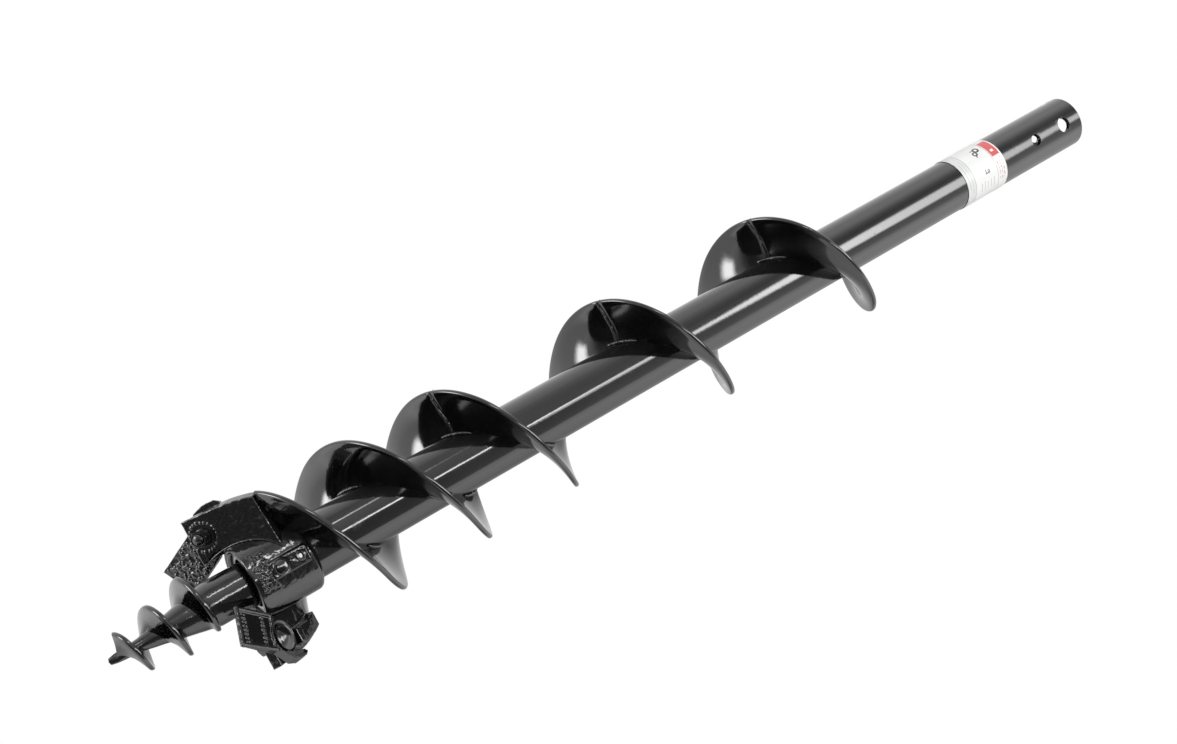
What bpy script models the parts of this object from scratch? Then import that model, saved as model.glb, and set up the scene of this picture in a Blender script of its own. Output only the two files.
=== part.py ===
"""Earth auger bit: a tube with welded flighting, a cast head with two bolted teeth, and a screw pilot.

Metres. The origin is the centre of the tube's drive-end face, and the bit points down along -Z.
The drive-pin hole runs along Y. The head and the flighting are turned by HEAD_TURN about Z from it.
"""

import math

import bmesh
import bpy

# Drive tube
TUBE_R = 0.0285
TUBE_BORE_R = 0.0232
TUBE_LENGTH = 1.076
DRIVE_PIN_DEPTH = 0.0265
DRIVE_PIN_R = 0.0085
LOCK_PIN_DEPTH = 0.0726
LOCK_PIN_R = 0.0066
CROSS_PIN_DEPTH = 0.0160
CROSS_PIN_R = 0.0060

# Flighting
FLIGHT_R = 0.0750
FLIGHT_THICKNESS = 0.0050
FLIGHT_PITCH = 0.1984
FLIGHT_START = 23.5  # degrees from wing a
FLIGHT_END = 1330.0
FLIGHT_SECTIONS = 4
FLIGHT_START_Z = -1.0395
STARTER_START_Z = -1.0426
SEAM_ANGLE = 0.4  # degrees left open at each butt joint
FLIGHT_STEPS = 48  # for one turn

# Head collar
HEAD_TURN = math.radians(-4.5)
COLLAR_R = 0.0360
COLLAR_TOP = -1.018
COLLAR_BOTTOM = -1.080
COLLAR_CHAMFER = 0.0060
PAD_TOP = -1.0245
PAD_BOTTOM = -1.0635
PAD_WIDTH = 0.0180
PAD_RISE = 0.0025

# Wing plates
WING_PITCH = math.radians(46)
WING_Z = -1.0767  # where the underside's plane crosses the axis
WING_THICKNESS = 0.0095
WING_LEADING = -0.0305
WING_TRAILING = 0.0452  # at the rim
WING_TRAILING_INNER = 0.0490  # at the collar
WING_INNER_X = 0.0325
WING_CORNER_R = 0.0755
BLOCK_HEIGHT = 0.0078  # of the shoulder behind the tooth
BLOCK_FRONT = 0.0040
BLOCK_BACK = 0.0445
BLOCK_INSET = 0.0034

# Teeth and their bolts
TOOTH_SKEW = {"a": math.radians(-24.6), "b": math.radians(-28.2)}
TOOTH_BOLT_X = 0.0545
TOOTH_BOLT_Y = -0.0170
TOOTH_THICKNESS = 0.0078
TOOTH_INNER = -0.0205
TOOTH_FRONT = -0.0580
TOOTH_BACK = -0.0100
TOOTH_EYE_R = 0.0170
TOOTH_EDGE_THICKNESS = 0.0038
BOLT_R = 0.00475
BOLT_HEAD_R = 0.0125
BOLT_HEAD_RISE = 0.0055
NUT_FLATS = 0.0143
NUT_HEIGHT = 0.0070
WASHER_R = 0.0078
WASHER_THICKNESS = 0.0012

# Pilot
SHANK_R = 0.02125
SHANK_TOP = -1.000
SHANK_BOTTOM = -1.1135
CONE_BOTTOM = -1.182
CONE_BOTTOM_R = 0.0064
TIP_Z = -1.212
PILOT_PITCH = 0.0323
PILOT_FIN_TOP = -1.1127
PILOT_FIN_TURNS = 2.45
PILOT_FIN_START = 177.5  # degrees from wing a, at the top of the fin
PILOT_FIN_THICKNESS = 0.0040
PILOT_FIN_RAKE = 0.33  # how far the fin leans to the drive side for each metre outward
PILOT_FIN_REACH = 0.0400
PILOT_PIN_Z = -1.0525
PILOT_PIN_R = 0.0060
PILOT_PIN_HEAD_R = 0.0083
SET_SCREW_Z = -1.0330
SET_SCREW_R = 0.0050

# Label
LABEL_TOP = -0.1260
LABEL_BOTTOM = -0.1883
LABEL_ANGLE = math.radians(300)
LABEL_THICKNESS = 0.0003

GAP = 0.0003  # between pieces that touch
MERGE = 0.00001


def clear_scene():
    for obj in list(bpy.data.objects):
        bpy.data.objects.remove(obj, do_unlink=True)


def new_collection(name, hidden=False):
    collection = bpy.data.collections.new(name)
    collection.hide_render = hidden
    bpy.context.scene.collection.children.link(collection)
    return collection


def paint(name, colour, roughness, metallic=0.0):
    material = bpy.data.materials.new(name)
    material.use_nodes = True
    shader = material.node_tree.nodes["Principled BSDF"]
    shader.inputs["Base Color"].default_value = (*colour, 1)
    shader.inputs["Roughness"].default_value = roughness
    shader.inputs["Metallic"].default_value = metallic
    return material


def add_object(name, mesh, material=None, parent=None):
    """A part, or a cutter where it has no material."""
    obj = bpy.data.objects.new(name, mesh)
    if material:
        mesh.materials.append(material)
        PARTS.objects.link(obj)
    else:
        obj.hide_render = True
        obj.display_type = "WIRE"
        CUTTERS.objects.link(obj)
    obj.parent = parent
    return obj


def add_empty(name, parent=None, z=0.0, turn=0.0, tilt=0.0):
    empty = bpy.data.objects.new(name, None)
    CUTTERS.objects.link(empty)
    empty.parent = parent
    empty.location.z = z
    empty.rotation_euler = (tilt, 0, turn)
    return empty


def profile_mesh(name, points, closed):
    """A profile in the XZ plane, given as (radius, z) points."""
    shape = bmesh.new()
    corners = [shape.verts.new((radius, 0, z)) for radius, z in points]
    for first, second in zip(corners, corners[1:]):
        shape.edges.new((first, second))
    if closed:
        shape.edges.new((corners[-1], corners[0]))
    mesh = bpy.data.meshes.new(name)
    shape.to_mesh(mesh)
    shape.free()
    return mesh


def turned(name, points, material=None, parent=None, steps=48, closed=False, angle=math.tau):
    """A solid of revolution about the object's Z. The profile runs down its outer side."""
    obj = add_object(name, profile_mesh(name, points, closed), material, parent)
    screw = obj.modifiers.new("Turn", "SCREW")
    screw.angle = angle
    screw.steps = steps
    screw.render_steps = steps
    screw.use_merge_vertices = angle == math.tau
    screw.merge_threshold = MERGE
    return obj


def rod(name, radius, low, high, material=None, parent=None, steps=32):
    return turned(name, [(0, high), (radius, high), (radius, low), (0, low)], material, parent, steps)


def ring(name, outer, inner, low, high, material=None, parent=None, steps=48):
    corners = [(outer, high), (outer, low), (inner, low), (inner, high)]
    return turned(name, corners, material, parent, steps, closed=True)


def primitive_mesh(name, shape):
    mesh = bpy.data.meshes.new(name)
    shape.to_mesh(mesh)
    shape.free()
    return mesh


def box_mesh(name, size, centre):
    shape = bmesh.new()
    bmesh.ops.create_cube(shape, size=1)
    bmesh.ops.scale(shape, verts=shape.verts, vec=size)
    bmesh.ops.translate(shape, verts=shape.verts, vec=centre)
    return primitive_mesh(name, shape)


def prism_mesh(name, sides, radius, low, high):
    shape = bmesh.new()
    bmesh.ops.create_cone(
        shape, cap_ends=True, segments=sides, radius1=radius, radius2=radius, depth=high - low
    )
    bmesh.ops.translate(shape, verts=shape.verts, vec=(0, 0, (low + high) / 2))
    return primitive_mesh(name, shape)


def flat_mesh(name, outline, low, high):
    """A mesh made from a filled 2D curve through the outline's points, between two heights."""
    curve = bpy.data.curves.new(name, "CURVE")
    curve.dimensions = "2D"
    curve.fill_mode = "BOTH"
    curve.extrude = (high - low) / 2
    spline = curve.splines.new("POLY")
    spline.points.add(len(outline) - 1)
    for point, (x, y) in zip(spline.points, outline):
        point.co = (x, y, 0, 1)
    spline.use_cyclic_u = True
    guide = bpy.data.objects.new(name, curve)
    CUTTERS.objects.link(guide)
    mesh = bpy.data.meshes.new_from_object(guide.evaluated_get(bpy.context.evaluated_depsgraph_get()))
    bpy.data.objects.remove(guide)
    shape = bmesh.new()
    shape.from_mesh(mesh)
    bmesh.ops.remove_doubles(shape, verts=shape.verts, dist=MERGE)
    bmesh.ops.translate(shape, verts=shape.verts, vec=(0, 0, (low + high) / 2))
    bmesh.ops.recalc_face_normals(shape, faces=shape.faces)
    shape.to_mesh(mesh)
    shape.free()
    mesh.name = name
    return mesh


def boolean(obj, operation, other):
    modifier = obj.modifiers.new(operation.title(), "BOOLEAN")
    modifier.operation = operation
    modifier.solver = "EXACT"
    modifier.object = other


def cut(obj, *cutters):
    for cutter in cutters:
        boolean(obj, "DIFFERENCE", cutter)


def arc(x, y, radius, start, end, steps):
    """Points on an arc, with its angles in degrees."""
    angles = [math.radians(start + (end - start) * step / steps) for step in range(steps + 1)]
    return [(x + radius * math.cos(angle), y + radius * math.sin(angle)) for angle in angles]


# Drive tube and label


def cross_hole(name, radius, z, turn=0.0, parent=None):
    """A cutter through the tube, along Y and then turned about Z."""
    cutter = rod(name, radius, -0.06, 0.06, parent=parent, steps=40)
    cutter.rotation_euler = (math.pi / 2, 0, turn)
    cutter.location.z = z
    return cutter


def make_tube(pin_hole):
    tube = ring("shaft_tube", TUBE_R, TUBE_BORE_R, -TUBE_LENGTH, 0, BLACK, steps=64)
    drive = cross_hole("drive_pin_hole", DRIVE_PIN_R, -DRIVE_PIN_DEPTH)
    lock = cross_hole("lock_pin_hole", LOCK_PIN_R, -LOCK_PIN_DEPTH)
    cross = cross_hole("cross_pin_hole", CROSS_PIN_R, -CROSS_PIN_DEPTH, math.pi / 2)
    cut(tube, drive, lock, cross, pin_hole)
    return tube


def make_label():
    middle = TUBE_R + GAP + LABEL_THICKNESS / 2
    label = turned("label", [(middle, LABEL_TOP), (middle, LABEL_BOTTOM)], FILM, steps=60, angle=LABEL_ANGLE)
    label.rotation_euler.z = math.pi / 2 - LABEL_ANGLE / 2
    sheet = label.modifiers.new("Sheet", "SOLIDIFY")
    sheet.thickness = LABEL_THICKNESS
    sheet.offset = 0
    return label


# Flighting


def helix(name, start, end, start_z, parent, cutters):
    """A flight from one angle to another, in degrees, whose middle surface starts at start_z."""
    line = profile_mesh(name, [(TUBE_R + GAP, 0), (FLIGHT_R, 0)], closed=False)
    flight = add_object(name, line, BLACK, parent)
    flight.rotation_euler.z = math.radians(start)
    flight.location.z = start_z
    turns = (end - start) / 360
    screw = flight.modifiers.new("Helix", "SCREW")
    screw.angle = turns * math.tau
    screw.screw_offset = turns * FLIGHT_PITCH
    screw.steps = max(2, round(turns * FLIGHT_STEPS))
    screw.render_steps = screw.steps
    screw.use_merge_vertices = False
    sheet = flight.modifiers.new("Sheet", "SOLIDIFY")
    sheet.thickness = FLIGHT_THICKNESS
    sheet.offset = 0
    sheet.use_even_offset = True
    cut(flight, *cutters)
    return flight


def make_flights(head, collar_room, wing_room):
    for number in range(FLIGHT_SECTIONS):
        start = FLIGHT_START + 360 * number
        end = min(start + 360 - SEAM_ANGLE, FLIGHT_END)
        z = FLIGHT_START_Z + FLIGHT_PITCH * number
        cutters = [] if number else [collar_room, *wing_room]
        helix(f"flight_section_{number + 1}", start, end, z, head, cutters)
    start = FLIGHT_START + 180
    helix("starter_flight", start, start + 360, STARTER_START_Z, head, [collar_room, *wing_room])


# Head collar


def collar_profile(inner, margin=0.0):
    outer = COLLAR_R + margin
    top = COLLAR_TOP + margin
    bottom = COLLAR_BOTTOM - margin
    shoulder = arc(outer - COLLAR_CHAMFER, top - COLLAR_CHAMFER, COLLAR_CHAMFER, 75, 0, 4)
    lip = arc(outer - 0.003, bottom + 0.003, 0.003, 0, -90, 3)
    return [(inner, top), *shoulder, *lip, (inner, bottom)]


def make_collar(head, pin_hole):
    collar = turned("head_collar", collar_profile(TUBE_R + GAP), CAST, head, steps=64, closed=True)
    depth = COLLAR_R + PAD_RISE - TUBE_R - 0.004
    centre = (0, COLLAR_R + PAD_RISE - depth / 2, (PAD_TOP + PAD_BOTTOM) / 2)
    block = box_mesh("collar_pad", (PAD_WIDTH, depth, PAD_TOP - PAD_BOTTOM), centre)
    pad = add_object("collar_pad", block, parent=head)
    boolean(collar, "UNION", pad)
    screw_hole = rod("set_screw_hole", SET_SCREW_R + GAP, -0.05, -0.02, parent=head)
    screw_hole.rotation_euler.x = math.pi / 2
    screw_hole.location.z = SET_SCREW_Z
    cut(collar, pin_hole, screw_hole)
    return collar


# Wing plates and teeth


def wing_rim(y, margin=0.0):
    """The outer edge's X where it follows the flighting's rim, as Y goes up the slope."""
    return math.sqrt((FLIGHT_R + margin) ** 2 - (y * math.cos(WING_PITCH)) ** 2)


def wing_outline(margin=0.0):
    """Local X runs outward from the auger's axis and local Y toward the trailing edge."""
    leading = WING_LEADING - margin
    trailing = WING_TRAILING + margin
    steps = 12
    outer = [(wing_rim(trailing * step / steps, margin), trailing * step / steps) for step in range(steps + 1)]
    corner = [(WING_INNER_X - margin, leading), (WING_CORNER_R + margin, leading)]
    inner = WING_TRAILING_INNER + margin
    return [*corner, *outer, (0.002, inner), (0.002, 0.002), (WING_INNER_X - margin, 0.002)]


def block_outline(margin=0.0):
    """The raised shoulder behind the tooth's eye, set in from the plate's rim."""
    front = BLOCK_FRONT - margin
    back = BLOCK_BACK + margin
    nose = front + 0.0060
    steps = 6
    outer = [(0.0685 + margin, front)]
    for step in range(steps + 1):
        y = nose + (back - nose) * step / steps
        outer.append((wing_rim(y, margin) - BLOCK_INSET, y))
    inner = [(0.0490 - margin, back), (0.0535 - margin, 0.0270), (0.0535 - margin, front)]
    return [*outer, *inner]


def make_wing(letter, plane, collar_room):
    mesh = flat_mesh(f"wing_plate_{letter}", wing_outline(), 0, WING_THICKNESS)
    wing = add_object(f"wing_plate_{letter}", mesh, CAST, plane)
    top = WING_THICKNESS + BLOCK_HEIGHT
    block = add_object(
        f"wing_block_{letter}", flat_mesh(f"wing_block_{letter}", block_outline(), 0.001, top), parent=plane
    )
    boolean(wing, "UNION", block)
    bolt_hole = rod(f"wing_bolt_hole_{letter}", BOLT_R + GAP, -0.03, 0.03, parent=plane)
    bolt_hole.location = (TOOTH_BOLT_X, TOOTH_BOLT_Y, 0)
    cut(wing, collar_room, bolt_hole)
    return wing


def tooth_outline():
    """Around the bolt's centre, with the cutting edge at -Y and the hook past the wing's rim at +X."""
    blade = [(TOOTH_INNER, TOOTH_FRONT), (0.0165, TOOTH_FRONT - 0.0025), (0.0150, -0.0120)]
    hook = [(0.0220, 0.0062), (0.0200, 0.0180), (0.0142, 0.0290), (0.0095, 0.0322), (0.0050, 0.0305)]
    eye = arc(0, 0, TOOTH_EYE_R, 62, 195, 12)
    return [*blade, *hook, *eye, (TOOTH_INNER, TOOTH_BACK)]


def make_tooth(letter, seat):
    mesh = flat_mesh(f"tooth_{letter}", tooth_outline(), 0, TOOTH_THICKNESS)
    tooth = add_object(f"tooth_{letter}", mesh, CAST, seat)
    bolt_hole = rod(f"tooth_bolt_hole_{letter}", BOLT_R + GAP, -0.03, 0.03, parent=seat)
    length = TOOTH_BACK - TOOTH_FRONT
    taper = math.atan2(TOOTH_THICKNESS - TOOTH_EDGE_THICKNESS, length)
    wedge = box_mesh(f"tooth_taper_{letter}", (0.08, 0.10, 0.02), (0, -0.05, -0.01))
    relief = add_object(f"tooth_taper_{letter}", wedge, parent=seat)
    relief.location.y = TOOTH_BACK
    relief.rotation_euler.x = -taper
    cut(tooth, bolt_hole, relief)
    return tooth


def make_bolt(letter, seat):
    """A domed carriage bolt whose head lies on the tooth, with its nut under the wing plate."""
    top = TOOTH_THICKNESS + GAP
    dome_r = (BOLT_HEAD_R**2 + BOLT_HEAD_RISE**2) / (2 * BOLT_HEAD_RISE)
    spread = math.degrees(math.asin(BOLT_HEAD_R / dome_r))
    dome = arc(0, top + BOLT_HEAD_RISE - dome_r, dome_r, 90, 90 - spread, 6)
    dome[0] = (0, dome[0][1])
    under = -GAP - WING_THICKNESS
    washer_low = under - GAP - WASHER_THICKNESS
    nut_low = washer_low - GAP - NUT_HEIGHT
    end = nut_low - 0.003
    turned(f"tooth_bolt_{letter}", [*dome, (BOLT_R, top), (BOLT_R, end), (0, end)], STEEL, seat, 32)
    ring(f"tooth_washer_{letter}", WASHER_R, BOLT_R + GAP, washer_low, under - GAP, STEEL, seat, 32)
    hexagon = prism_mesh(f"tooth_nut_{letter}", 6, NUT_FLATS / math.sqrt(3), nut_low, nut_low + NUT_HEIGHT)
    nut = add_object(f"tooth_nut_{letter}", hexagon, STEEL, seat)
    thread = rod(f"nut_thread_{letter}", BOLT_R + GAP, -0.05, 0.02, parent=seat)
    cut(nut, thread)


def make_head_side(letter, head, turn, collar_room):
    """One wing plate with its tooth and fasteners, and the cutter that keeps the flights off the plate."""
    side = add_empty(f"side_{letter}", head, turn=turn)
    plane = add_empty(f"wing_plane_{letter}", side, z=WING_Z, tilt=WING_PITCH)
    make_wing(letter, plane, collar_room)
    seat = add_empty(f"tooth_seat_{letter}", plane, z=WING_THICKNESS + GAP, turn=TOOTH_SKEW[letter])
    seat.location.x = TOOTH_BOLT_X
    seat.location.y = TOOTH_BOLT_Y
    make_tooth(letter, seat)
    make_bolt(letter, seat)
    room = flat_mesh(f"wing_room_{letter}", wing_outline(GAP), -GAP, WING_THICKNESS + GAP)
    top = WING_THICKNESS + BLOCK_HEIGHT + GAP
    block_room = flat_mesh(f"block_room_{letter}", block_outline(GAP), 0, top)
    return [
        add_object(f"wing_room_{letter}", room, parent=plane),
        add_object(f"block_room_{letter}", block_room, parent=plane),
    ]


# Pilot


def make_pilot(head, pin_hole):
    cone = [(SHANK_R, SHANK_BOTTOM), (CONE_BOTTOM_R, CONE_BOTTOM), (0, TIP_Z)]
    top = [(0, SHANK_TOP), (SHANK_R - 0.002, SHANK_TOP), (SHANK_R, SHANK_TOP - 0.002)]
    core = turned("pilot_core", [*top, *cone], BLACK, head, steps=48)
    cut(core, pin_hole)
    make_pilot_fin(head)
    make_pilot_pin(head)


def make_pilot_fin(head):
    """A helical fin trimmed to a tapering envelope, with room for the core inside it."""
    root = (0.004, (0.004 - PILOT_FIN_REACH) * PILOT_FIN_RAKE)
    line = profile_mesh("pilot_flight", [root, (PILOT_FIN_REACH, 0)], closed=False)
    fin = add_object("pilot_flight", line, BLACK, head)
    fin.rotation_euler.z = math.radians(PILOT_FIN_START) - PILOT_FIN_TURNS * math.tau
    fin.location.z = PILOT_FIN_TOP - PILOT_FIN_TURNS * PILOT_PITCH
    screw = fin.modifiers.new("Helix", "SCREW")
    screw.angle = PILOT_FIN_TURNS * math.tau
    screw.screw_offset = PILOT_FIN_TURNS * PILOT_PITCH
    screw.steps = round(PILOT_FIN_TURNS * 40)
    screw.render_steps = screw.steps
    screw.use_merge_vertices = False
    sheet = fin.modifiers.new("Sheet", "SOLIDIFY")
    sheet.thickness = PILOT_FIN_THICKNESS
    sheet.offset = 0
    swell = [(0, -1.105), (0.0225, -1.105), (0.0226, -1.1175), (0.0300, -1.1220), (0.0364, -1.1290)]
    taper = [(0.0304, -1.1485), (0.0284, -1.1630), (0.0246, -1.1835), (0.0215, -1.201), (0, -1.206)]
    envelope = turned("fin_envelope", [*swell, *taper], parent=head, steps=64)
    boolean(fin, "INTERSECT", envelope)
    shank = [(0, -1.090), (SHANK_R + GAP, -1.090), (SHANK_R + GAP, SHANK_BOTTOM)]
    cone = [(CONE_BOTTOM_R + GAP, CONE_BOTTOM), (0, TIP_Z - 0.002)]
    core_room = turned("core_room", [*shank, *cone], parent=head, steps=48)
    cut(fin, core_room)
    return fin


def make_pilot_pin(head):
    face = COLLAR_R + PAD_RISE + GAP
    far = -COLLAR_R - 0.001
    head_top = face + 0.002
    corners = [(0, head_top), (PILOT_PIN_HEAD_R - 0.001, head_top), (PILOT_PIN_HEAD_R, head_top - 0.001)]
    stem = [(PILOT_PIN_HEAD_R, face), (PILOT_PIN_R, face), (PILOT_PIN_R, far), (0, far)]
    pin = turned("pilot_pin", [*corners, *stem], STEEL, head, 32)
    pin.rotation_euler.x = -math.pi / 2
    pin.location.z = PILOT_PIN_Z
    screw = rod("collar_set_screw", SET_SCREW_R, TUBE_R + GAP + 0.0002, COLLAR_R + PAD_RISE + 0.001, STEEL, head)
    screw.rotation_euler.x = -math.pi / 2
    screw.location.z = SET_SCREW_Z
    return pin


clear_scene()
PARTS = new_collection("earth_auger_bit")
CUTTERS = new_collection("cutters", hidden=True)
BLACK = paint("gloss_black_paint", (0.012, 0.012, 0.013), 0.22)
CAST = paint("painted_casting", (0.014, 0.014, 0.015), 0.34)
STEEL = paint("painted_fastener", (0.018, 0.018, 0.020), 0.28)
FILM = paint("label_film", (0.86, 0.86, 0.86), 0.45)

head_frame = add_empty("head_frame", turn=HEAD_TURN)
pin_room = cross_hole("pilot_pin_hole", PILOT_PIN_R + GAP, PILOT_PIN_Z, parent=head_frame)
collar_space = turned("collar_room", collar_profile(0, GAP), parent=head_frame, steps=64)
make_tube(pin_room)
make_label()
make_collar(head_frame, pin_room)
wing_spaces = []
for side_letter, side_turn in (("a", 0), ("b", math.pi)):
    wing_spaces += make_head_side(side_letter, head_frame, side_turn, collar_space)
make_flights(head_frame, collar_space, wing_spaces)
make_pilot(head_frame, pin_room)
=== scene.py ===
"""Looks for an earth auger bit: glossy black paint over a welded and cast steel bit with bolted teeth.

Metres, in the row frame: the origin is the centre of the drive-end face, and the bit points down -Z.
"""

import math

import bmesh
import bpy
from mathutils import Matrix, Vector, noise


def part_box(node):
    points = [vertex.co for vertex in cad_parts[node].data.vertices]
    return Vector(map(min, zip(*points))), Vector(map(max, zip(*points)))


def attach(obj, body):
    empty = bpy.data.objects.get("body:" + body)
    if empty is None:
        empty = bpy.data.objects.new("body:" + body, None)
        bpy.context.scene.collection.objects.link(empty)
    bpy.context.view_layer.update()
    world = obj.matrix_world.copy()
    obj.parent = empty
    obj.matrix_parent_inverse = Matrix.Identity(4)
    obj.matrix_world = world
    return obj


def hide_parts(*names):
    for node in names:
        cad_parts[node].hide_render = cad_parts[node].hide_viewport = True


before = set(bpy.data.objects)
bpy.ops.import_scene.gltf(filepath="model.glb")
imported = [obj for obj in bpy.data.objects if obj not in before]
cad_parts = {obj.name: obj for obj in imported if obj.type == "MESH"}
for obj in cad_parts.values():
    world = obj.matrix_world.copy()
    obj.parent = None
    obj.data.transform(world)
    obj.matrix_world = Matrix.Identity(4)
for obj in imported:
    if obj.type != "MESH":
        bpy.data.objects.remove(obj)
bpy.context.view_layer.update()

TAU = math.tau

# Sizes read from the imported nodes
TUBE_LOW, TUBE_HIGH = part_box("shaft_tube")
LABEL_LOW, LABEL_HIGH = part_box("label")
COLLAR_LOW, COLLAR_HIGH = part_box("head_collar")
CORE_LOW, CORE_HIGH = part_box("pilot_core")
TUBE_R = TUBE_HIGH.x
TUBE_END_Z = TUBE_LOW.z
TIP_Z = CORE_LOW.z
SHANK_TOP = CORE_HIGH.z
COLLAR_TOP = COLLAR_HIGH.z
COLLAR_BOTTOM = COLLAR_LOW.z

# Driving dimensions, as in the part
GAP = 0.0003
TUBE_BORE_R = 0.0232
# Each hole's depth from the drive end, its radius and its turn about Z
DRIVE_HOLES = ((0.0265, 0.0085, 0.0), (0.0726, 0.0066, 0.0), (0.0160, 0.0060, math.pi / 2))
HEAD_TURN = math.radians(-4.5)
FLIGHT_R = 0.0750
FLIGHT_THICKNESS = 0.0050
FLIGHT_PITCH = 0.1984
FLIGHT_START = 23.5
FLIGHT_END = 1330.0
FLIGHT_START_Z = -1.0395
SEAM_SLANT = 10.5
STARTER_START_Z = -1.0426
COLLAR_R = 0.0360
PAD_TOP = -1.0245
PAD_BOTTOM = -1.0635
PAD_WIDTH = 0.0180
PAD_RISE = 0.0025
WING_PITCH = math.radians(46)
WING_Z = -1.0767
WING_THICKNESS = 0.0095
WING_LEADING = -0.0305
WING_TRAILING = 0.0452
WING_TRAILING_INNER = 0.0490
WING_INNER_X = 0.0325
WING_CORNER_R = 0.0755
BLOCK_TOP = 0.0173
TOOTH_SKEW = {"a": math.radians(-24.6), "b": math.radians(-28.2)}
TOOTH_BOLT = Vector((0.0545, -0.0170, 0.0098))
TOOTH_THICKNESS = 0.0078
BOLT_R = 0.00475
BOLT_HOLE_R = 0.0051
NUT_FLATS = 0.0143
NUT_HEIGHT = 0.0070
SHANK_R = 0.02125
SHANK_BOTTOM = -1.1135
CONE_BOTTOM = -1.182
CONE_BOTTOM_R = 0.0064
PILOT_PITCH = 0.0323
PILOT_FIN_TOP = -1.1127
PILOT_FIN_RAKE = 0.33
PILOT_FIN_REACH = 0.0400
PILOT_FIN_TURNS = 2.45
PILOT_FIN_START = 177.5
PILOT_PIN_Z = -1.0525
PILOT_PIN_HOLE_R = 0.0063
SET_SCREW_Z = -1.0330

# How far the visual's faces lie inside the part's
SKIN = 0.0002

HEAD = Matrix.Rotation(HEAD_TURN, 4, "Z")


# Mesh helpers


def new_object(name, mesh, material=None):
    obj = bpy.data.objects.new(name, mesh)
    bpy.context.scene.collection.objects.link(obj)
    if material:
        mesh.materials.append(material)
    return obj


def to_mesh(name, shape):
    """The shape as a mesh whose faces point outward. Its faces already agree with each other."""
    if shape.calc_volume(signed=True) < 0:
        bmesh.ops.reverse_faces(shape, faces=shape.faces)
    mesh = bpy.data.meshes.new(name)
    shape.to_mesh(mesh)
    shape.free()
    return mesh


def smooth(obj, angle=35):
    obj.data.shade_smooth()
    obj.data.set_sharp_from_angle(angle=math.radians(angle))
    return obj


def baked(obj):
    """The object with its modifiers applied to its mesh."""
    bpy.context.view_layer.update()
    graph = bpy.context.evaluated_depsgraph_get()
    mesh = bpy.data.meshes.new_from_object(obj.evaluated_get(graph), depsgraph=graph)
    old = obj.data
    obj.modifiers.clear()
    obj.data = mesh
    bpy.data.meshes.remove(old)
    return obj


def moved(obj, matrix):
    obj.data.transform(matrix)
    return obj


def boolean(obj, operation, other):
    """Joins or cuts other, and then removes it."""
    modifier = obj.modifiers.new(operation.title(), "BOOLEAN")
    modifier.operation = operation
    modifier.solver = "EXACT"
    modifier.object = other
    baked(obj)
    bpy.data.objects.remove(other)
    return obj


def add_lumps(obj, shape):
    """Lays loose closed lumps over the object, for cast() to melt in."""
    lumps = to_mesh("lumps", shape)
    shape = bmesh.new()
    shape.from_mesh(obj.data)
    shape.from_mesh(lumps)
    shape.to_mesh(obj.data)
    shape.free()
    bpy.data.meshes.remove(lumps)


def cast(obj, voxel, rounds=2):
    """Melts a rough union of solids into one casting with soft inside corners."""
    remesh = obj.modifiers.new("Remesh", "REMESH")
    remesh.mode = "VOXEL"
    remesh.voxel_size = voxel
    remesh.use_smooth_shade = True
    soften = obj.modifiers.new("Soften", "SMOOTH")
    soften.factor = 0.5
    soften.iterations = rounds
    return baked(obj)


def bevelled(obj, width, segments, angle):
    bevel = obj.modifiers.new("Bevel", "BEVEL")
    bevel.width = width
    bevel.segments = segments
    bevel.limit_method = "ANGLE"
    bevel.angle_limit = math.radians(angle)
    return baked(obj)


def across(z, way):
    """A matrix that lays a shape along Y at a height. Way is -1 to turn its top to +Y, or 1 to -Y."""
    return Matrix.Translation((0, 0, z)) @ Matrix.Rotation(way * math.pi / 2, 4, "X")


def turned(name, profile, steps=96, closed=False):
    """A solid of revolution about Z from (radius, z) points that run down its outer side."""
    shape = bmesh.new()
    rings = []
    for radius, z in profile:
        if radius < 1e-6:
            rings.append([shape.verts.new((0, 0, z))])
            continue
        ring = []
        for step in range(steps):
            angle = TAU * step / steps
            ring.append(shape.verts.new((radius * math.cos(angle), radius * math.sin(angle), z)))
        rings.append(ring)
    pairs = list(zip(rings, rings[1:]))
    if closed:
        pairs.append((rings[-1], rings[0]))
    for upper, lower in pairs:
        for step in range(steps):
            after = (step + 1) % steps
            corners = [
                upper[step % len(upper)],
                lower[step % len(lower)],
                lower[after % len(lower)],
                upper[after % len(upper)],
            ]
            shape.faces.new(list(dict.fromkeys(corners)))
    return new_object(name, to_mesh(name, shape))


def rod(name, radius, top, bottom, steps):
    return turned(name, [(0, top), (radius, top), (radius, bottom), (0, bottom)], steps)


def corner(x, z, radius, start, end, steps):
    """Points round an arc, with its angles in degrees."""
    points = []
    for step in range(steps + 1):
        angle = math.radians(start + (end - start) * step / steps)
        points.append((x + radius * math.cos(angle), z + radius * math.sin(angle)))
    return points


def skinned(name, shape, rings):
    """A closed solid with faces between neighbouring rings of points, and a cap at each end."""
    count = len(rings[0])
    for first, second in zip(rings, rings[1:]):
        for step in range(count):
            after = (step + 1) % count
            shape.faces.new((first[step], first[after], second[after], second[step]))
    shape.faces.new(list(reversed(rings[0])))
    shape.faces.new(rings[-1])
    return new_object(name, to_mesh(name, shape))


def plate(name, outline, low, high, draft=0.0):
    """A prism on an outline that runs counterclockwise. Draft moves the upper outline inward."""
    shape = bmesh.new()
    bottom = [shape.verts.new((x, y, low)) for x, y in outline]
    top = [shape.verts.new((x, y, high)) for x, y in inset(outline, draft)]
    return skinned(name, shape, [bottom, top])


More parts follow.
